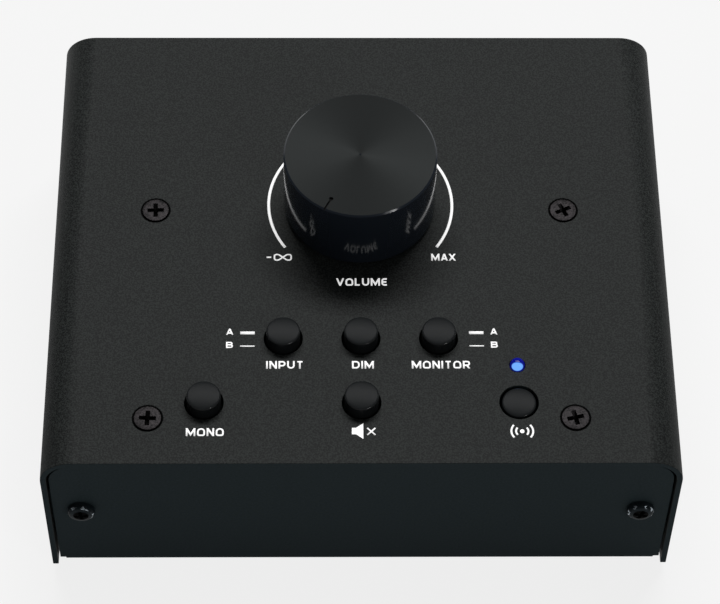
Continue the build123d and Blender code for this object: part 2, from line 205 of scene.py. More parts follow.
def rubbed_black_zinc(tree):
    """Black zinc on a head's round edge, rubbed bright in specks, which show as small glints."""
    specks = grain(tree, 0.9 * MM, 1.0)
    zinc, steel = 0.52, 0.6  # shares of the noise at which the zinc ends and the bare steel starts
    bare = add(tree, "MapRange", {"Value": specks, "From Min": zinc, "From Max": steel})
    surface(
        tree,
        specks,
        (colour("#171d20"), colour("#8d959b")),
        ends=(zinc, steel),
        height=0.06 * MM,
        Metallic=(bare, "Result"),
        Roughness=0.24,
        Specular_IOR_Level=0.03,
    )


def turned_anodised_aluminium(tree):
    """Aluminium faced on a lathe and anodised black: fine rings that spread light into a bow."""
    place = add(tree, "TexCoord")
    inputs = {"Vector": (place, "UV"), "Scale": 1.0, "Distortion": 0.4, "Detail": 1.0}
    rings = add(tree, "TexWave", inputs, bands_direction="Y")
    tangent = add(tree, "Tangent", direction_type="UV_MAP", uv_map="turning")
    surface(
        tree,
        (rings, "Fac"),
        height=0.002 * MM,
        Base_Color=bpy.context.scene.controller_knob.face_colour[:],
        Metallic=1.0,
        Roughness=0.36,
        Anisotropic=0.8,
        Anisotropic_Rotation=0.25,
        Tangent=(tangent, "Tangent"),
    )


def polished_anodised_aluminium(tree):
    """Polished aluminium, anodised deep blue-black: the dye shows under a clear, glassy oxide."""
    dye = bpy.context.scene.controller_knob.side_colour[:]
    film = grain(tree, 2 * MM)
    surface(tree, film, rough=(0.1, 0.13), Base_Color=dye, IOR=1.5, Specular_IOR_Level=0.2)


def dull_black_pointer(tree):
    """Dull near-black on the pointer's groove and dot, so the pointer reads as a dark line."""
    plain(tree, "#050505", "#090909", 0.3, 0.01, (0.7, 0.85), Specular_IOR_Level=0.1)


def moulded_abs(tree, rough=(0.2, 0.28), gloss=0.018):
    """Black ABS from a spark-eroded mould: satin, with the faintest grain."""
    plastic = bpy.context.scene.controller_buttons.plastic[:]
    more = {"Base_Color": plastic, "IOR": 1.53, "Specular_IOR_Level": gloss}
    surface(tree, grain(tree, 0.25 * MM), rough=rough, height=0.004 * MM, **more)


def finger_worn_abs(tree):
    """The same ABS where fingers have polished the cap's rim: it catches a thin line of light."""
    moulded_abs(tree, (0.1, 0.14), 0.3)


def screen_ink(tree, glow_factor=1.0):
    """White epoxy ink that glows a little: painted light that keeps it white in soft shade."""
    glow = bpy.context.scene.controller_print.glow * glow_factor
    tones = colour("#f0f0f0"), colour("#fafafa")
    light = {"Emission_Color": colour("#ffffff"), "Emission_Strength": glow}
    surface(tree, grain(tree, 0.3 * MM), tones, height=0.004 * MM, Roughness=0.5, **light)


def glowing_ink_in_knob_shadow(tree):
    """The ink glowing more where the knob's shadow falls: painted light, as white as the rest."""
    screen_ink(tree, 2.3)


def lit_blue_epoxy(tree):
    """Blue epoxy lens over a lit chip: pale where the chip shows, deep blue round it."""
    lamp = bpy.context.scene.controller_lamp
    place = add(tree, "TexCoord")
    low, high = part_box("lamp_lens")
    middle = (low + high) / 2
    spot = (middle.x - lamp.glow_side, middle.y - lamp.glow_offset, plate_top + lamp.glow_height)
    away = add(tree, "VectorMath", {0: (place, "Object"), 1: spot}, operation="SUBTRACT")
    flattened = {0: (away, "Vector"), 1: (1, lamp.glow_flatness, lamp.glow_flatness)}
    away = add(tree, "VectorMath", flattened, operation="MULTIPLY")
    away = add(tree, "VectorMath", {0: (away, "Vector")}, operation="LENGTH")
    edge = {"From Min": lamp.glow_radius * 1.15, "From Max": lamp.glow_radius * 0.75}
    inputs = {"Value": (away, "Value"), **edge}
    near = add(tree, "MapRange", inputs, interpolation_type="SMOOTHSTEP")
    stops = (0.1, lamp.tint[:]), (0.9, lamp.glow[:])
    light = add(tree, "ValToRGB", {"Fac": (near, "Result")}, stops)
    surface(
        tree,
        Base_Color=lamp.tint[:],
        Roughness=0.12,
        IOR=1.54,
        Specular_IOR_Level=0.12,
        Emission_Color=(light, "Color"),
        Emission_Strength=lamp.strength,
    )


def moulded_rubber(tree):
    """Black rubber from a plain mould: dull, dusty grey where it catches light."""
    plain(tree, "#191919", "#242424", 0.5, 0.02, (0.75, 0.9))


def moulded_nylon(tree):
    """Black glass-filled nylon: satin with short fibre streaks."""
    plain(tree, "#121314", "#1c1d1e", 0.4, 0.008, (0.4, 0.55), IOR=1.53)


def moulded_acetal(tree):
    """Off-white acetal: waxy and smooth."""
    plain(tree, "#d2d1c8", "#dedcd4", 3, 0.004, (0.3, 0.4), IOR=1.48)


def moulded_epoxy(tree):
    """Black epoxy of a chip: fine matt grain."""
    plain(tree, "#1a1a1b", "#262627", 0.15, 0.006, (0.5, 0.65), IOR=1.55)


def film_capacitor_case(tree):
    """Red polyester box filled with resin: glossy."""
    plain(tree, "#8a241c", "#9c2c22", 2, 0.01, (0.2, 0.3), IOR=1.57)


def solder_masked_board(tree):
    """Glass-fibre board under green solder mask: glossy, its weave just showing."""
    plain(tree, "#12512c", "#196338", 0.5, 0.006, (0.25, 0.35), IOR=1.55)


def zinc_plated_steel(tree):
    """Zinc-plated steel: bright blue-grey with a cloudy spangle."""
    plain(tree, "#b3b7ba", "#cdd0d1", 1.2, 0.003, (0.28, 0.42), Metallic=1.0)


def nickel_plated_brass(tree):
    """Nickel-plated brass: warm silver, smooth."""
    plain(tree, "#c3bfb1", "#d2cec0", 1.5, 0.001, (0.16, 0.26), Metallic=1.0)


def turned_aluminium(tree):
    """Bare turned aluminium: pale grey with tool marks."""
    plain(tree, "#c6c8ca", "#d8dadb", 0.3, 0.004, (0.25, 0.38), Metallic=1.0)


def tinned_shield(tree):
    """Tinned steel can: soft grey shine."""
    plain(tree, "#b9bab9", "#cccdcb", 1.0, 0.002, (0.3, 0.42), Metallic=1.0)


def finish(build):
    """The material that a finish function builds on an empty node tree, built once."""
    material = bpy.data.materials.get(build.__name__)
    if not material:
        material = bpy.data.materials.new(build.__name__)
        material.use_nodes = True
        material.node_tree.nodes.clear()
        build(material.node_tree)
    return material


# ---- Modelling helpers ----
def start(add_primitive, **settings):
    """Adds a primitive with nothing else selected."""
    bpy.ops.object.select_all(action="DESELECT")
    add_primitive(**settings)
    return bpy.context.object


def choose(obj):
    """Selects one object and nothing else."""
    bpy.ops.object.select_all(action="DESELECT")
    obj.select_set(True)
    bpy.context.view_layer.objects.active = obj


@contextmanager
def editing():
    """Edit mode, with everything selected, for a with block."""
    bpy.ops.object.mode_set(mode="EDIT")
    bpy.ops.mesh.select_all(action="SELECT")
    yield
    bpy.ops.object.mode_set(mode="OBJECT")


def pick(obj, test, kind="FACE"):
    """In edit mode, selects the faces or edges that pass a test, and nothing else."""
    bpy.ops.mesh.select_mode(type=kind)
    bpy.ops.mesh.select_all(action="DESELECT")
    mesh = bmesh.from_edit_mesh(obj.data)
    for item in mesh.faces if kind == "FACE" else mesh.edges:
        item.select_set(test(item))
    bmesh.update_edit_mesh(obj.data)


def modified(obj, kind, **settings):
    """Applies a modifier to the chosen object."""
    modifier = obj.modifiers.new(kind, kind)
    for name, value in settings.items():
        setattr(modifier, name, value)
    bpy.ops.object.modifier_apply(modifier=modifier.name)


def turned(outline, sides=96):
    """Closed body turned about Z: a disc extruded ring by ring along (radius, height) steps."""
    radius, height = outline[0]
    disc = {"vertices": sides, "radius": radius, "fill_type": "NGON", "location": (0, 0, height)}
    obj = start(bpy.ops.mesh.primitive_circle_add, **disc)
    bpy.ops.object.transform_apply()
    with editing():
        for next_radius, next_height in outline[1:]:
            rise = (0, 0, next_height - height)
            share = next_radius / radius
            bpy.ops.mesh.extrude_region_move(TRANSFORM_OT_translate={"value": rise})
            bpy.ops.transform.resize(value=(share, share, 1), center_override=(0, 0, next_height))
            radius, height = next_radius, next_height
        bpy.ops.mesh.select_all(action="SELECT")
        bpy.ops.mesh.normals_make_consistent(inside=False)
    return obj


def quarter_round(radius, height, bend, steps=5):
    """Outline points that round an upper outer edge, from its side to its top."""
    turns = [pi / 2 * step / steps for step in range(steps + 1)]
    return [(radius - bend + bend * cos(turn), height - bend + bend * sin(turn)) for turn in turns]


def dome(radius, height, rise, steps=6):
    """Outline points of a shallow dome, from its rim to near its middle."""
    shares = [1 - step / steps for step in range(1, steps)]
    rings = [(radius * share, height + rise * (1 - share**2)) for share in shares]
    return [*rings, (radius * POLE, height + rise)]


def block(size, place=(0, 0, 0)):
    """Cuboid of the given size about a place."""
    obj = start(bpy.ops.mesh.primitive_cube_add, size=1)
    obj.scale = size
    obj.location = place
    bpy.ops.object.transform_apply()
    return obj


def bar(size, corner):
    """Cuboid of the given size about the origin with its upright edges rounded."""
    obj = block(size)
    with editing():
        pick(obj, lambda e: abs(e.verts[0].co.z - e.verts[1].co.z) > size[2] / 2, "EDGE")
        bpy.ops.mesh.bevel(offset=corner, segments=3, affect="EDGES")
    return obj


def cut(obj, *tools):
    """Takes tools out of a body and removes them."""
    for tool in tools:
        choose(obj)
        modified(obj, "BOOLEAN", object=tool, solver="EXACT")
        bpy.data.objects.remove(tool, do_unlink=True)
    choose(obj)
    with editing():
        bpy.ops.mesh.remove_doubles(threshold=MERGE)
        bpy.ops.mesh.dissolve_degenerate(threshold=MERGE)
    return obj


def moved(obj, place, turn=(0, 0, 0)):
    """Moves and turns an object, and writes its place into its mesh."""
    choose(obj)
    obj.rotation_euler = turn
    obj.location = place
    bpy.ops.object.transform_apply()
    return obj


def twin(obj):
    """Copy of an object with its own mesh."""
    copy = obj.copy()
    copy.data = obj.data.copy()
    bpy.context.collection.objects.link(copy)
    return copy


def softened(node, width, segments=3):
    """Copy of a packed node, its triangles merged and its sharp edges rounded."""
    obj = twin(frame["nodes"][node])
    obj.parent = None
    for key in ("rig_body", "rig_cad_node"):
        del obj[key]
    choose(obj)
    with editing():
        bpy.ops.mesh.remove_doubles(threshold=MERGE)
        bpy.ops.mesh.dissolve_limited(angle_limit=radians(0.5))
    sharp = {"limit_method": "ANGLE", "angle_limit": radians(30)}
    modified(obj, "BEVEL", width=width, segments=segments, **sharp, harden_normals=True)
    return obj


def settle(obj, name, body, material, slot, *nodes, smooth=30):
    """Names a finished piece, gives it its finish and body, and hides the nodes it replaces."""
    obj.name = name
    obj.data.name = name
    choose(obj)
    if smooth:
        bpy.ops.object.shade_smooth_by_angle(angle=radians(smooth))
    obj.data.materials.clear()
    obj.data.materials.append(finish(material))
    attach(obj, body)
    if nodes:
        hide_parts(*nodes)
    return obj


def repaint(obj, material, places):
    """Gives the faces with these numbers another finish."""
    obj.data.materials.append(finish(material))
    for place in places:
        obj.data.polygons[place].material_index = len(obj.data.materials) - 1


def faces_near(obj, axes, radius, level=None):
    """Numbers of the faces whose corners all lie within a radius of an axis.

    Axes stand at (x, y), above a given level, or with no level run along Y through (x, z).
    """
    upright = level is not None
    chosen = []
    for face in obj.data.polygons:
        corners = [obj.data.vertices[corner].co for corner in face.vertices]
        if upright and min(corner.z for corner in corners) < level:
            continue
        flat = [(corner.x, corner.y if upright else corner.z) for corner in corners]
        if any(all(dist(axis, point) < radius for point in flat) for axis in axes):
            chosen.append(face.index)
    return chosen


def rim_faces(obj, slope, level, others=()):
    """Numbers of the faces of a rounded rim, above a level, from a slope up to nearly flat."""
    return [
        face.index
        for face in obj.data.polygons
        if slope < face.normal.z < FLAT and face.center.z > level and face.index not in others
    ]


def round_box(node):
    """Middle (x, y) of a round upright node, its lowest and highest level, and its radius."""
    low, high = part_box(node)
    return (low.x + high.x) / 2, (low.y + high.y) / 2, low.z, high.z, (high.x - low.x) / 2


# ---- Sizes and colours that a user would change ----
class CaseSettings(PropertyGroup):
    """Folded steel case and its paint."""

    edge: length("Edge", "Rounding of the painted sheet's edges", 0.16)
    countersink: length("Countersink", "Width across the top plate's screw holes", 6.4)
    grain: length("Grain", "Size of the powder coat's grains, coarse enough to show", 0.34)
    grain_height: length("Grain height", "Relief of the powder coat", 0.045)
    foot_edge: length("Foot edge", "Rounding of the rubber feet", 0.8)
    paint_deep: paint("Paint, deep", "Paint between its grains", "#101212")
    paint_light: paint("Paint, light", "Paint on top of its grains", "#282b2a")


class KnobSettings(PropertyGroup):
    """Turned volume knob."""

    chamfer: length("Chamfer", "Width of the bright-cut edge round the face", 0.32)
    chamfer_drop: length("Chamfer drop", "Height of the bright-cut edge", 0.32)
    lower_edge: length("Lower edge", "Rounding at the foot of the side", 0.3)
    cavity_radius: length("Cavity radius", "Hollow under the knob", 10.0)
    cavity_depth: length("Cavity depth", "Hollow under the knob", 5.0)
    pointer: angle("Pointer", "Direction of the pointer at rest, from +X", -118)
    pointer_length: length("Pointer length", "From the rim to the dot", 3.0)
    pointer_width: length("Pointer width", "Width of the milled line", 0.4)
    pointer_depth: length("Pointer depth", "Depth of the milled line", 0.4)
    dot: length("Dot", "Diameter of the pointer's dot", 0.9)
    centre_dot: length("Centre dot", "Diameter of the lathe's centre mark", 0.5)
    grub_height: length("Grub screw", "Height of the grub screw above the plate", 10.0)
    grub_hole: length("Grub hole", "Diameter of the grub screw's hole", 3.1)
    ring_pitch: length("Rings", "Spacing of the lathe's rings, coarse enough to show", 0.5)
    face_colour: paint("Face", "Anodised face", "#0f1010")
    side_colour: paint("Side", "Anodised side", "#1b2027")


class ButtonSettings(PropertyGroup):
    """Push button caps."""

    edge: length("Edge", "Rounding of the cap's rim", 0.4)
    rise: length("Dome", "Height of the cap's dome", 0.15)
    plastic: paint("Plastic", "Cap", "#191b1c")


class ScrewSettings(PropertyGroup):
    """Cross-head screws."""

    recess: length("Recess", "Width across the cross recess", 3.5)
    wing: length("Wing", "Thickness of the cross recess's wings", 0.95)
    recess_depth: length("Recess depth", "Depth of the cross recess", 1.3)
    head_edge: length("Head edge", "Rounding of the pan heads", 0.8)
    head_rise: length("Head dome", "Height of the pan heads' dome", 0.35)
    flat_edge: length("Flat edge", "Rounding of the countersunk heads", 0.12)
    rim: length("Rim", "Straight part of the countersunk heads", 0.5)


class LampSettings(PropertyGroup):
    """Status lamp."""

    glow_radius: length("Glow", "Radius of the lit patch", 1.5)
    glow_offset: length("Glow offset", "Of the lit patch, towards the user", 1.15)
    glow_side: length("Glow side", "Of the lit patch, to the left", 0.15)
    glow_height: length("Glow height", "Of the lit patch, above the plate", 1.0)
    glow_flatness: number("Flatness", "Of the lit patch", 1.5)
    tint: paint("Tint", "Blue epoxy", "#050860")
    glow: paint("Light", "Light of the chip", "#6ea8fb")
    strength: number("Strength", "Brightness of the lamp", 1.1)


class SocketSettings(PropertyGroup):
    """Sockets of the rear panel."""

    edge: length("Edge", "Rounding of the mouldings' edges", 0.25)
    jack_width: length("Jack width", "Width of a jack socket's body", 13.4)
    jack_pitch: length("Jack pitch", "Distance between jack sockets", 14.5)
    jack_bore: length("Jack bore", "Diameter of the jacks' plated bores", 6.6)
    ring: length("Ring", "Diameter of the plated ring round a jack's mouth", 8.6)
    ring_rise: length("Ring height", "Of the ring above the moulding", 0.2)
    mini_bore: length("Mini bore", "Diameter of the small jack's plated bore", 3.8)
    inlet_pin: length("Pin", "Diameter within which the inlet is metal", 2.2)


class PrintSettings(PropertyGroup):
    """Screen printing on the top plate."""

    ink: length("Ink", "Thickness of the ink", 0.02)
    weight: length("Weight", "Thickness of the letters' strokes", 0.36)
    # The ink's glow is painted light, which keeps it white in shade.
    glow: number("Ink glow", "Light the ink adds", 0.26)
    spacing: number("Spacing", "Between letters, against their height", 0.18)
    letter: length("Letters", "Height of the words", 1.86)
    small_letter: length("Small letters", "Height of the A and B marks", 1.5)
    shift: length("Shift", "Of the printing against the holes, to the right", 0.35)
    upper_gap: length("Upper gap", "From the upper row of buttons to its words", 6.5)
    lower_gap: length("Lower gap", "From the lower row of buttons to its words", 7.0)
    arc_radius: length("Arc radius", "Of the scale round the knob", 19.5)
    arc_width: length("Arc width", "Of the scale round the knob", 0.6)
    arc_start: angle("Arc start", "Right end of the scale, from +X", -35.1)
    arc_sweep: angle("Arc sweep", "From end to end of the scale", 250.4)


class StageSettings(PropertyGroup):
    """Camera, lamps and floor."""

    azimuth: angle("Azimuth", "Camera's direction round the object", -1.475)
    elevation: angle("Elevation", "Camera's height above the horizon", 55.833)
    roll: angle("Roll", "Camera's turn about its own axis", -1.169)
    target: FloatVectorProperty(
        name="Target",
        description="Point that the camera looks at",
        subtype="TRANSLATION",
        default=(0.611 * MM, 11.932 * MM, 2.0 * MM),
    )
    distance: length("Distance", "From the camera to the target", 632.164)
    lens: number("Lens", "Focal length in millimetres", 140.1)
    floor: paint("Floor", "Pale floor", "#f6f6f6")
    haze: number("Haze", "Share of the floor that shows evenly lit", 0.9)
    surroundings: number("Surroundings", "World light", 0.13)
    back_power: number("Back softbox", "Watts", 66.0)
    key_power: number("Key", "Watts", 3.0)


SETTINGS = {
    "controller_case": CaseSettings,
    "controller_knob": KnobSettings,
    "controller_buttons": ButtonSettings,
    "controller_screws": ScrewSettings,
    "controller_lamp": LampSettings,
    "controller_sockets": SocketSettings,
    "controller_print": PrintSettings,
    "controller_stage": StageSettings,
}


# ---- Pieces ----
def coat_edges(obj, case):
    """Thinner coat of cut edges in the pan's paint; painted shade on the plate's screw-hole walls.
    """
    low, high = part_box("top_screws")
    columns = (low.x + HEAD_RADIUS, high.x - HEAD_RADIUS)
    axes = [(x, y) for x in columns for y in (low.y + HEAD_RADIUS, high.y - HEAD_RADIUS)]
    ends = [face.index for face in obj.data.polygons if abs(face.normal.y) > 0.9]
    repaint(obj, smooth_coated_steel, ends)
    # Painted shade: near-black on the walls of the countersinks.
    holes = faces_near(obj, axes, case.countersink / 2 + HAIR, plate_top - 2 * MM)
    repaint(obj, painted_recess_shade, holes)


class CONTROLLER_OT_case(Operator):
    """Folded cover and pan, with painted edges softened"""

    bl_idname = "controller.case"
    bl_label = "Case"

    def execute(self, context):
        case = context.scene.controller_case
        coats = {"top_cover": powder_coated_steel, "bottom_pan": smooth_coated_steel}
        for node, coat in coats.items():
            obj = softened(node, case.edge)
            settle(obj, node + "_painted", "case", coat, "case_paint", node, smooth=None)
            if node == "top_cover":
                coat_edges(obj, case)
        for node in FEET:
            obj = softened(node, case.foot_edge, 4)
            settle(obj, node + "_rubber", "case", moulded_rubber, "foot_rubber", node, smooth=None)
        return {"FINISHED"}


def polar_map(obj, centre, pitch):
    """UV map for turned faces: U runs round the centre and V outwards, one unit for each ring."""
    layer = obj.data.uv_layers.new(name="turning")
    for face in obj.data.polygons:
        middle = face.center - centre
        base = atan2(middle.y, middle.x)
        for loop in face.loop_indices:
            point = obj.data.vertices[obj.data.loops[loop].vertex_index].co - centre
            turn = atan2(point.y, point.x) - base
            turn = (turn + pi) % (2 * pi) - pi
            layer.data[loop].uv = ((base + turn) / (2 * pi), point.xy.length / pitch)


class CONTROLLER_OT_knob(Operator):
    """Turned aluminium volume knob with its milled pointer"""

    bl_idname = "controller.knob"
    bl_label = "Volume knob"

    def execute(self, context):
        knob = context.scene.controller_knob
        x, y, low, high, radius = round_box("volume_knob")
        shaft_top, shaft_radius = round_box("pot_shaft")[3:]
        bore = shaft_radius + HAIR
        centre, top = Vector((x, y, 0)), Vector((0, 0, high))
        face = radius - knob.chamfer
        outline = [
            (bore, shaft_top + HAIR),
            (bore, low + knob.cavity_depth),
            (knob.cavity_radius, low + knob.cavity_depth),
            (knob.cavity_radius, low),
            (radius - knob.lower_edge, low),
            (radius, low + knob.lower_edge),
            (radius, high - knob.chamfer_drop),
            (face, high),
            *[(face * (1 - step / 12), high) for step in range(1, 12)],
            (face * POLE, high),
        ]
        obj = moved(turned(outline, sides=192), centre)
        direction = Vector((cos(knob.pointer), sin(knob.pointer), 0))
        dot_at = centre + direction * (radius - knob.pointer_length)
        line_at = centre + direction * (radius - knob.pointer_length + radius / 2)
        line = bar((radius, knob.pointer_width, 2 * knob.pointer_depth), HAIR)
        moved(line, line_at + top, (0, 0, knob.pointer))
        half, depth = knob.dot / 2, knob.pointer_depth
        dot = moved(turned([(half, -depth), (half, depth)], sides=32), dot_at + top)
        mark = turned([(HAIR, -knob.centre_dot / 3), (knob.centre_dot / 2, HAIR)], sides=24)
        moved(mark, centre + top)
        hole = turned([(knob.grub_hole / 2, 0), (knob.grub_hole / 2, radius + MM)], sides=48)
        rise = Vector((0, 0, plate_top + knob.grub_height))
        moved(hole, centre - direction * bore * 0.5 + rise, (0, -pi / 2, knob.pointer))
        cut(obj, line, dot, mark, hole)
        polar_map(obj, centre, knob.ring_pitch)
        skin, slot, node = polished_anodised_aluminium, "knob_aluminium", "volume_knob"
        settle(obj, "volume_knob_turned", "knob", skin, slot, node, smooth=20)
        obj.data.materials.append(finish(turned_anodised_aluminium))
        obj.data.materials.append(finish(dull_black_pointer))
        for facet in obj.data.polygons:
            if facet.normal.z > 0.99 and facet.center.z > high - 0.01 * MM:
                facet.material_index = 1
            elif facet.center.z > high - 1.1 * knob.pointer_depth:
                arm = facet.center - centre
                along = arm.dot(direction)
                across = (arm - direction * along).xy.length
                # The pointer's groove and dot get the dull near-black.
                if along > 0 and across < knob.dot * 0.6 and not 0.1 < facet.normal.z < 0.9:
                    facet.material_index = 2
        return {"FINISHED"}


class CONTROLLER_OT_buttons(Operator):
    """Round button caps with rounded rims and shallow domes"""

    bl_idname = "controller.buttons"
    bl_label = "Button caps"

    def execute(self, context):
        button = context.scene.controller_buttons
        for name in BUTTONS:
            body = name + "_button"
            x, y, low, high, radius = round_box(body)
            shoulder = high - low - button.rise
            outline = [
                (radius - 0.1 * MM, 0),
                (radius, 0.1 * MM),
                *quarter_round(radius, shoulder, button.edge),
                *dome(radius - button.edge, shoulder, button.rise),
            ]
            obj = moved(turned(outline), (x, y, low))
            stem_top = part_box(name + "_plunger")[1].z
            stem = bar((STEM_HOLE, STEM_HOLE, 2 * (stem_top - low)), 0.1 * MM)
            cut(obj, moved(stem, (x, y, low)))
            settle(obj, name + "_cap", body, moulded_abs, "button_plastic", body)
            repaint(obj, finger_worn_abs, rim_faces(obj, 0.2, high - 0.7 * MM))
        return {"FINISHED"}


class CONTROLLER_OT_lamp(Operator):
    """Status lamp with its round lens, lit"""

    bl_idname = "controller.lamp"
    bl_label = "Status lamp"

    def execute(self, context):
        x, y, low, high, radius = round_box("lamp_lens")
        outline = [(radius, 0), *quarter_round(radius, high - low, radius * 0.98, 12)]
        obj = moved(turned(outline, sides=48), (x, y, low))
        settle(obj, "lamp_dome", "case", lit_blue_epoxy, "lamp_lens", "lamp_lens", smooth=40)
        return {"FINISHED"}


def cross_recess(screw, height):
    """Tools for a cross recess: two tapered wings and a pointed core, open at the given height."""
    tools = []
    for turn, depth in ((0, screw.recess_depth), (pi / 2, screw.recess_depth * 0.93)):
        wing = block((screw.recess, screw.wing, depth), (0, 0, -depth / 2))
        with editing():
            pick(wing, lambda f: f.normal.z < -0.9)
            taper = (0.3, 0.5, 1)
            bpy.ops.transform.resize(value=taper, center_override=(0, 0, -depth))
            pick(wing, lambda f: f.normal.z > 0.9)
            rise = (0, 0, screw.wing)
            bpy.ops.mesh.extrude_region_move(TRANSFORM_OT_translate={"value": rise})
        tools.append(moved(wing, (0, 0, height), (0, 0, turn)))
    core, depth = screw.wing * 0.72, screw.recess_depth
    point = [(core * 0.05, -depth * CORE_POINT), (core * 0.65, -depth)]
    drill = turned([*point, (core, 0), (core, screw.wing)], sides=24)
    tools.append(moved(drill, (0, 0, height)))
    return tools


def recess_faces(screw, model, height):
    """Numbers of the faces inside a screw's cross recess, which get painted shade."""
    level = height - (CORE_POINT + 0.01) * screw.recess_depth
    inside = faces_near(model, [(0, 0)], screw.recess / 2 + HAIR, level)
    faces = model.data.polygons
    return [place for place in inside if faces[place].center.z < height - 0.05 * MM]


def screw_model(screw, reach, seat, head, height):
    """Screw about Z: its shank from -reach to the seat's height, its head's outline, its recess."""
    tip = [(SHANK_RADIUS * 0.7, -reach), (SHANK_RADIUS, -reach + SHANK_RADIUS * 0.3)]
    outline = [*tip, (SHANK_RADIUS, seat), *head]
    return cut(turned(outline, sides=64), *cross_recess(screw, height))


def countersunk_screw(screw, radius, reach):
    """Countersunk screw about Z with the face of its head at z = 0."""
    edge = quarter_round(radius, 0, screw.flat_edge, 3)
    head = [(radius, -screw.rim), *edge, (radius * 0.5, 0)]
    return screw_model(screw, reach, -(radius - SHANK_RADIUS + screw.rim), head, 0)


def pan_head_screw(screw, radius, head_height, reach):
    """Pan-head screw about Z, seated at z = 0."""
    shoulder = head_height - screw.head_rise
    head = [
        (radius - 0.05 * MM, 0),
        (radius, 0.08 * MM),
        *quarter_round(radius, shoulder, screw.head_edge, 8),
        *dome(radius - screw.head_edge, shoulder, screw.head_rise, 5),
    ]
    return screw_model(screw, reach, 0, head, head_height)


class CONTROLLER_OT_screws(Operator):
    """Blackened cross-head screws in the top plate and the panels"""

    bl_idname = "controller.screws"
    bl_label = "Screws"

    def execute(self, context):
        screw = context.scene.controller_screws
        low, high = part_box("top_screws")
        radius = HEAD_RADIUS
        turns = {"back_left": 2, "back_right": 25, "front_left": -3, "front_right": 13}
        model = countersunk_screw(screw, radius, high.z - low.z)
        recess = recess_faces(screw, model, 0)
        for place, turn in turns.items():
            x = low.x + radius if "left" in place else high.x - radius
            y = low.y + radius if "front" in place else high.y - radius
            obj = moved(twin(model), (x, y, high.z), (0, 0, radians(turn)))
            name = "top_screw_" + place
            settle(obj, name, "case", black_oxide_steel, "black_screws", "top_screws")
            # Painted shade in the cross recess.
            repaint(obj, painted_recess_shade, recess)
        bpy.data.objects.remove(model, do_unlink=True)
        for node, facing in (("front_screws", -1), ("rear_screws", 1)):
            low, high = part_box(node)
            radius = (high.z - low.z) / 2
            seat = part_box("bottom_pan")[(facing + 1) // 2].y
            head = abs((low.y if facing < 0 else high.y) - seat)
            model = pan_head_screw(screw, radius, head, high.y - low.y - head)
            recess = recess_faces(screw, model, head)
            rim = rim_faces(model, 0.15, head - screw.recess_depth, recess)
            for side, x, turn in (("left", low.x + radius, 8), ("right", high.x - radius, -20)):
                obj = moved(twin(model), (0, 0, 0), (0, 0, radians(turn)))
                moved(obj, (x, seat, (low.z + high.z) / 2), (-facing * pi / 2, 0, 0))
                settle(obj, node + "_" + side, "case", black_zinc_steel, "black_screws", node)
                # Painted shade in the cross recess.
                repaint(obj, painted_recess_shade, recess)
                repaint(obj, rubbed_black_zinc, rim)
            bpy.data.objects.remove(model, do_unlink=True)
        return {"FINISHED"}


class CONTROLLER_OT_sockets(Operator):
    """Sockets of the rear panel, edges softened"""

    bl_idname = "controller.sockets"
    bl_label = "Sockets"

    def execute(self, context):
        sockets = context.scene.controller_sockets
        low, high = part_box("jack_sockets")
        first, last = low.x + sockets.jack_width / 2, high.x - sockets.jack_width / 2
        count = round((last - first) / sockets.jack_pitch) + 1
        jacks = [first + place * sockets.jack_pitch for place in range(count)]
        for node, axes, width in (
            ("jack_sockets", jacks, sockets.jack_bore),
            ("mini_socket", None, sockets.mini_bore),
            ("power_inlet", None, sockets.inlet_pin),
        ):
            low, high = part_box(node)
            middle = (low + high) / 2
            obj = softened(node, sockets.edge)
            name = node + "_moulded"
            settle(obj, name, "case", moulded_nylon, "socket_plastic", node, smooth=None)
            lines = [(axis, middle.z) for axis in axes or [middle.x]]
            repaint(obj, nickel_plated_brass, faces_near(obj, lines, width / 2))
        low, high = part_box("jack_sockets")
        for place, x in enumerate(jacks):
            rim = quarter_round(sockets.ring / 2, sockets.ring_rise, sockets.ring_rise / 2, 3)
            ring = turned([(sockets.ring / 2, -sockets.ring_rise), *rim], sides=64)
            hole = turned([(sockets.jack_bore / 2, -MM), (sockets.jack_bore / 2, MM)], sides=48)
            ring = moved(cut(ring, hole), (x, high.y, (low.z + high.z) / 2), (-pi / 2, 0, 0))
            name = "jack_ring_" + str(place + 1)
            settle(ring, name, "case", nickel_plated_brass, "nickel_brass")
        return {"FINISHED"}


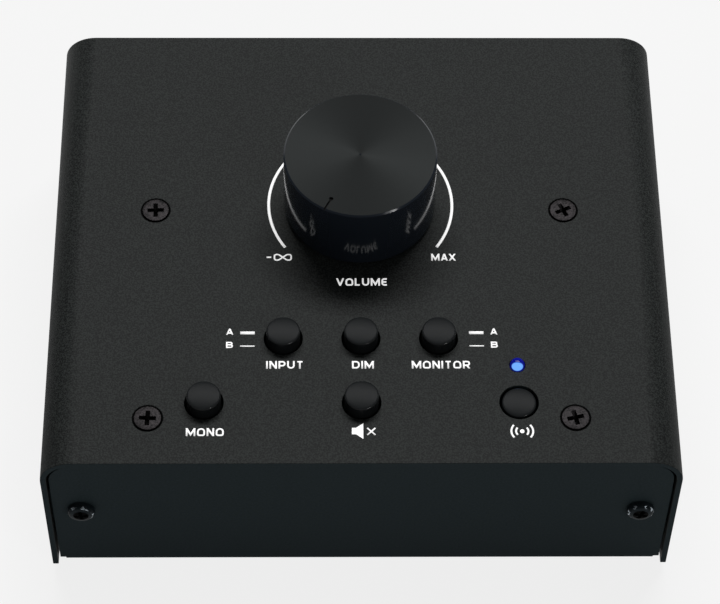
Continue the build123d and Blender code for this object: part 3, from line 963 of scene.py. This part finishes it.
# ---- Printing ----
# Each letter: its width against its height, and its strokes as paths of corners in a box that is
# one wide and one high. A third number rounds a corner, against the height, and a path that ends
# where it starts is closed. A width of 0 is one stroke.
LETTERS = {
    "A": (0.92, (((-0.06, -0.2), (0.5, 1.1), (1.06, -0.2)), ((0.2, 0.22), (0.8, 0.22)))),
    "B": (0.8, (
        ((0, -0.2), (0, 1.2)),
        ((-0.02, 1), (0.94, 1, 0.2), (0.94, 0.55, 0.2), (0.02, 0.55)),
        ((-0.03, 0.52), (1, 0.52, 0.22), (1, 0, 0.22), (0.03, 0)),
    )),
    "D": (0.95, (((0, 0), (0, 1), (1, 1, 0.4), (1, 0, 0.4), (0, 0)),)),
    "E": (0.78, (((1, 1), (0, 1, 0.25), (0, 0, 0.25), (1, 0)), ((0, 0.5), (0.9, 0.5)))),
    "I": (0, (((0.5, -0.2), (0.5, 1.2)),)),
    "L": (0.72, (((0, 1.2), (0, 0), (1, 0)),)),
    "M": (1.14, (
        ((0, -0.2), (0, 1.2)), ((1, -0.2), (1, 1.2)), ((-0.06, 1.2), (0.5, 0.1), (1.06, 1.2)),
    )),
    "N": (0.89, (((0, -0.2), (0, 1.2)), ((1, -0.2), (1, 1.2)), ((-0.08, 1.2), (1.08, -0.2)))),
    "O": (0.97, (((0.5, 0), (0, 0, 0.4), (0, 1, 0.4), (1, 1, 0.4), (1, 0, 0.4), (0.5, 0)),)),
    "P": (0.84, (((0, -0.2), (0, 1), (1, 1, 0.28), (1, 0.36, 0.28), (0, 0.36)),)),
    "R": (0.89, (
        ((0, -0.2), (0, 1), (0.97, 1, 0.28), (0.97, 0.4, 0.28), (0, 0.4)),
        ((0.55, 0.4), (1.02, -0.2)),
    )),
    "T": (0.85, (((0, 1), (1, 1)), ((0.5, -0.2), (0.5, 1)))),
    "U": (0.9, (((0, 1.2), (0, 0, 0.38), (1, 0, 0.38), (1, 1.2)),)),
    "V": (0.95, (((-0.06, 1.2), (0.5, -0.08), (1.06, 1.2)),)),
    "X": (0.88, (((-0.1, -0.15), (1.1, 1.15)), ((-0.1, 1.15), (1.1, -0.15)))),
    "−": (0.72, (((0, 0.5), (1, 0.5)),)),
    "∞": (2.1, (
        ((0.5, 0.5), (0.25, 0, 0.45), (0, 0, 0.4), (0, 1, 0.4), (0.25, 1, 0.45),
         (0.75, 0, 0.45), (1, 0, 0.4), (1, 1, 0.4), (0.75, 1, 0.45), (0.5, 0.5)),
    )),
}
TRIM = 0.002  # millimetres that letters may pass their lines
WELD = 0.0005  # millimetres within which corners of the ink are one


def rounded(corners, steps=6):
    """Path through corners (x, y, radius), each corner turned into an arc where it has a radius."""
    closed = corners[0][:2] == corners[-1][:2]
    points = []
    for place, (x, y, radius) in enumerate(corners[:-1] if closed else corners):
        corner = Vector((x, y))
        if not radius:
            points.append(corner)
            continue
        before = Vector(corners[place - 1][:2]) - corner
        after = Vector(corners[place + 1][:2]) - corner
        half = before.angle(after) / 2
        reach = min(radius / tan(half), before.length * 0.5, after.length * 0.5)
        middle = (before.normalized() + after.normalized()).normalized()
        middle = corner + middle * (reach / cos(half))
        first = corner + before.normalized() * reach - middle
        last = corner + after.normalized() * reach - middle
        turn = first.angle_signed(last)
        for step in range(steps + 1):
            arm = first.copy()
            arm.rotate(Matrix.Rotation(-turn * step / steps, 2))
            if not points or (middle + arm - points[-1]).length > MERGE:
                points.append(middle + arm)
    return closed, points


def arc_path(x, y, radius, begin, sweep, steps):
    """Open arc about a centre."""
    turns = [begin + sweep * step / steps for step in range(steps + 1)]
    return False, [Vector((x + radius * cos(turn), y + radius * sin(turn))) for turn in turns]


def drawn(ink, name, paths, weight, lines=None):
    """Ink on the plate along paths: walls on flat curves, thickened to the stroke's weight.

    It is drawn in millimetres, where merging is sure, and then brought to size. Lines are the
    heights between which letters are trimmed.
    """
    obj = start(bpy.ops.curve.primitive_bezier_curve_add)
    curve = obj.data
    curve.splines.clear()
    curve.dimensions = "2D"
    curve.fill_mode = "NONE"
    curve.extrude = ink.ink / MM / 2
    for closed, points in paths:
        spline = curve.splines.new("POLY")
        spline.points.add(len(points) - 1)
        spline.use_cyclic_u = closed
        for point, place in zip(spline.points, points):
            point.co = (place.x / MM, place.y / MM, 0, 1)
    bpy.ops.object.convert(target="MESH")
    modified(obj, "SOLIDIFY", thickness=weight / MM, offset=0, use_even_offset=True)
    with editing():
        bpy.ops.mesh.normals_make_consistent(inside=False)
        bpy.ops.mesh.intersect_boolean(operation="UNION", use_self=True, solver="EXACT")
        for level, way in ((lines[1] / MM + TRIM, 1), (lines[0] / MM - TRIM, -1)) if lines else ():
            bpy.ops.mesh.select_all(action="SELECT")
            plane = {"plane_co": (0, level, 0), "plane_no": (0, way, 0)}
            bpy.ops.mesh.bisect(**plane, use_fill=True, clear_outer=True)
        bpy.ops.mesh.select_all(action="SELECT")
        bpy.ops.mesh.remove_doubles(threshold=WELD)
        bpy.ops.mesh.normals_make_consistent(inside=False)
    obj.scale = (MM, MM, MM)
    return printed(moved(obj, (0, 0, plate_top + ink.ink / 2)), name)


def printed(obj, name):
    """Finishes ink, which rides on the case."""
    # The ink glows a little: painted light.
    return settle(obj, name, "case", screen_ink, "case_paint", smooth=None)


def word(ink, name, letters, x, y, width, height):
    """One printed word centred on x and y, its letters spread to the given width."""
    weight = ink.weight * (height / ink.letter) ** 0.8
    shares = [LETTERS[letter][0] for letter in letters]
    loose = (sum(shares) + ink.spacing * (len(letters) - 1)) * height
    stretch = (width - shares.count(0) * weight) / loose
    left, bottom = x - width / 2, y - height / 2
    paths = []
    for letter, share in zip(letters, shares):
        wide = share * height * stretch or weight
        for corners in LETTERS[letter][1]:
            placed = [
                (
                    left + weight / 2 + corner[0] * (wide - weight),
                    bottom + weight / 2 + corner[1] * (height - weight),
                    corner[2] * height if len(corner) > 2 else 0,
                )
                for corner in corners
            ]
            paths.append(rounded(placed))
        left += wide + ink.spacing * height * stretch
    return drawn(ink, name, paths, weight, (bottom, bottom + height))


def stroke(x, y, right, up):
    """Straight path centred on x and y, to a corner that is right and up of there."""
    return False, [Vector((x - right, y - up)), Vector((x + right, y + up))]


def print_place(ink, button):
    """Middle of a button as the printing has it, a little to the right of its hole."""
    x, y = round_box(button + "_button")[:2]
    return x + ink.shift, y


class CONTROLLER_OT_printing(Operator):
    """White screen printing on the top plate"""

    bl_idname = "controller.printing"
    bl_label = "Printing"

    def execute(self, context):
        ink = context.scene.controller_print
        x, y = round_box("volume_knob")[:2]

        # Round the knob: places from its middle and widths in mm.
        scale = arc_path(x + ink.shift / 2, y, ink.arc_radius, ink.arc_start, ink.arc_sweep, 120)
        drawn(ink, "print_scale_arc", [scale], ink.arc_width)
        below = y - 20.1 * MM
        title = word(ink, "print_volume", "VOLUME", x + ink.shift, below, 10.74 * MM, ink.letter)
        # VOLUME lies in the knob's shadow, so its ink glows more strongly: painted light.
        title.data.materials[0] = finish(glowing_ink_in_knob_shadow)
        ends, height = y - 13.8 * MM, 0.95 * ink.letter
        word(ink, "print_maximum", "MAX", x + 17.5 * MM, ends, 5.1 * MM, height)
        word(ink, "print_endless", "−∞", x - 17.05 * MM, ends, 5.5 * MM, height)

        # Under the buttons: widths in mm.
        for name, width, gap in (
            ("input", 7.65, ink.upper_gap),
            ("dim", 4.5, ink.upper_gap),
            ("monitor", 12.0, ink.upper_gap),
            ("mono", 7.65, ink.lower_gap),
        ):
            x, y = print_place(ink, name)
            word(ink, "print_" + name, name.upper(), x, y - gap, width * MM, ink.letter)

        # A and B beside two buttons, each with a bar: heights and the bars' weights in mm.
        height = ink.small_letter
        for name, side in (("input", -1), ("monitor", 1)):
            x, y = print_place(ink, name)
            bar_x, letter_x = x + (side * 7.6 - 0.13) * MM, x + (side * 11.25 - 0.15) * MM
            for mark, rise, weight in (("a", 1.35, 0.7), ("b", -1.9, 0.27)):
                title = "print_" + name + "_" + mark
                level = y + rise * MM
                drawn(ink, title + "_bar", [stroke(bar_x, level, 1.49 * MM, 0)], weight * MM)
                word(ink, title, mark.upper(), letter_x, level + 0.3 * MM, 0.95 * height, height)
        return {"FINISHED"}


class CONTROLLER_OT_symbols(Operator):
    """Printed speaker with a cross, and radio waves"""

    bl_idname = "controller.symbols"
    bl_label = "Printed symbols"

    def execute(self, context):
        ink = context.scene.controller_print
        x, y = print_place(ink, "mute")
        y -= ink.lower_gap
        cone = block((0.85 * MM, 1.5 * MM, ink.ink))
        horn, flare = 1.45 * MM, 2.45  # the horn's length, and its mouth against its throat
        with editing():
            pick(cone, lambda f: f.normal.x > 0.9)
            bpy.ops.mesh.extrude_region_move(TRANSFORM_OT_translate={"value": (horn, 0, 0)})
            bpy.ops.transform.resize(value=(1, flare, 1), center_override=(0, 0, 0))
        moved(cone, (x - 1.95 * MM, y + 0.2 * MM, plate_top + ink.ink / 2))
        printed(cone, "print_speaker")
        arm = 0.82 * MM
        cross = [stroke(x + 1.55 * MM, y + 0.1 * MM, arm, side * arm) for side in (-1, 1)]
        drawn(ink, "print_cross", cross, 0.3 * MM)

        x, y = print_place(ink, "wireless")
        y = y - ink.lower_gap + 0.1 * MM
        source, half = 0.45 * MM, radians(42)  # radius of the dot, and half of a wave's angle
        dot = turned([(source, 0), (source, ink.ink)], sides=32)
        printed(moved(dot, (x, y, plate_top)), "print_wave_source")
        waves = [
            arc_path(x, y, radius * MM, facing - half, 2 * half, 16)
            for radius in (1.25, 2.2)
            for facing in (0, pi)
        ]
        drawn(ink, "print_waves", waves, 0.4 * MM)
        return {"FINISHED"}


class CONTROLLER_OT_inside(Operator):
    """Finishes of the packed pieces inside the case"""

    bl_idname = "controller.inside"
    bl_label = "Inner pieces"

    def execute(self, context):
        finishes = {
            smooth_coated_steel: ["screw_brackets"],
            nickel_plated_brass: ["standoffs", "pot_pins", "pot_bushing", "pot_nut", "lamp_leads"],
            solder_masked_board: ["main_board"],
            moulded_epoxy: ["audio_chips"],
            film_capacitor_case: ["film_capacitors"],
            tinned_shield: ["receiver_module"],
            zinc_plated_steel: ["pot_housing"],
            turned_aluminium: ["pot_shaft"],
            black_oxide_steel: ["knob_grub_screw"],
            moulded_acetal: [name + "_plunger" for name in BUTTONS],
            moulded_nylon: [name + "_switch" for name in BUTTONS],
        }
        for build, nodes in finishes.items():
            for node in nodes:
                mesh = frame["nodes"][node].data
                mesh.materials.clear()
                mesh.materials.append(finish(build))
        return {"FINISHED"}


# ---- Stage ----
def pale_floor(tree):
    """Plain matt paper. Seen, or mirrored in gloss, most of it is evenly bright."""
    stage = bpy.context.scene.controller_stage
    fibres = grain(tree, 2 * MM)
    rough = add(tree, "MapRange", {"Value": fibres, "To Min": 0.85, "To Max": 0.95})
    inputs = {"Base Color": stage.floor[:], "Roughness": (rough, "Result")}
    paper = add(tree, "BsdfPrincipled", {**inputs, "Specular IOR Level": 0.1})
    even = add(tree, "Emission", {"Color": stage.floor[:]})
    ray = add(tree, "LightPath")
    seen = (ray, "Is Camera Ray")
    for mirrored in ("Is Glossy Ray", "Is Transmission Ray"):
        both = add(tree, "Math", {0: seen, 1: (ray, mirrored)}, operation="MAXIMUM")
        seen = (both, "Value")
    share = add(tree, "Math", {0: seen, 1: stage.haze}, operation="MULTIPLY")
    inputs = {0: (share, "Value"), 1: (paper, "BSDF"), 2: (even, "Emission")}
    mixed = add(tree, "MixShader", inputs)
    add(tree, "OutputMaterial", {"Surface": (mixed, "Shader")})


def softbox(name, towards, size, distance, watts):
    """Area lamp aimed at the middle of the plate."""
    direction = Vector(towards).normalized()
    bpy.ops.object.light_add(type="AREA")
    lamp = bpy.context.object
    lamp.name = name
    lamp.data.shape = "RECTANGLE"
    lamp.data.size, lamp.data.size_y = size
    lamp.data.energy = watts
    lamp.location = Vector((0, 0, plate_top)) + direction * distance
    lamp.rotation_mode = "QUATERNION"
    lamp.rotation_quaternion = (-direction).to_track_quat("-Z", "Y")


class CONTROLLER_OT_stage(Operator):
    """Camera, lamps, world and floor"""

    bl_idname = "controller.stage"
    bl_label = "Stage"

    def execute(self, context):
        scene = context.scene
        stage = scene.controller_stage
        scene.view_settings.view_transform = "Standard"

        # The floor lies just below the feet, so that no face of theirs shares its plane.
        floor = start(bpy.ops.mesh.primitive_plane_add, size=16, location=(0, 0, -0.01 * MM))
        floor.name = "floor"
        floor.data.materials.append(finish(pale_floor))

        world = bpy.data.worlds.new("studio")
        scene.world = world
        world.use_nodes = True
        sky = world.node_tree.nodes["Background"]
        sky.inputs["Color"].default_value = colour("#ffffff")
        sky.inputs["Strength"].default_value = stage.surroundings

        softbox("back_softbox", (0.06, 0.53, 0.85), (2.0, 0.6), 2.5, stage.back_power)
        softbox("key_lamp", (0.54, -0.67, 0.51), (0.4, 0.06), 1.6, stage.key_power)

        flat = cos(stage.elevation)
        across, along = -sin(stage.azimuth) * flat, cos(stage.azimuth) * flat
        forward = Vector((across, along, -sin(stage.elevation)))
        bpy.ops.object.camera_add()
        camera = context.object
        camera.name = "camera"
        camera.data.lens = stage.lens
        camera.data.sensor_width = 36.0
        camera.data.clip_start = 0.01
        camera.rotation_mode = "QUATERNION"
        level = forward.to_track_quat("-Z", "Y")
        camera.rotation_quaternion = level @ Quaternion((0, 0, 1), -stage.roll)
        camera.location = Vector(stage.target) - forward * stage.distance
        scene.camera = camera
        return {"FINISHED"}


class CONTROLLER_PT_panel(Panel):
    """Lists the controller's pieces and their settings"""

    bl_idname = "CONTROLLER_PT_panel"
    bl_label = "Monitor Controller"
    bl_space_type = "VIEW_3D"
    bl_region_type = "UI"
    bl_category = "Controller"

    def draw(self, context):
        for operator in OPERATORS:
            self.layout.operator(operator.bl_idname)
        for name, group in SETTINGS.items():
            box = self.layout.box()
            box.label(text=group.__doc__)
            for key in group.__annotations__:
                box.prop(getattr(context.scene, name), key)


OPERATORS = (
    CONTROLLER_OT_case,
    CONTROLLER_OT_knob,
    CONTROLLER_OT_buttons,
    CONTROLLER_OT_lamp,
    CONTROLLER_OT_screws,
    CONTROLLER_OT_sockets,
    CONTROLLER_OT_printing,
    CONTROLLER_OT_symbols,
    CONTROLLER_OT_inside,
    CONTROLLER_OT_stage,
)
CLASSES = (*SETTINGS.values(), *OPERATORS, CONTROLLER_PT_panel)


def register():
    for item in CLASSES:
        bpy.utils.register_class(item)
    for name, group in SETTINGS.items():
        setattr(bpy.types.Scene, name, PointerProperty(type=group))


def unregister():
    for name in SETTINGS:
        delattr(bpy.types.Scene, name)
    for item in CLASSES:
        bpy.utils.unregister_class(item)


def main():
    register()
    for operator in OPERATORS:
        group, name = operator.bl_idname.split(".")
        getattr(getattr(bpy.ops, group), name)()


if __name__ == "__main__":
    main()
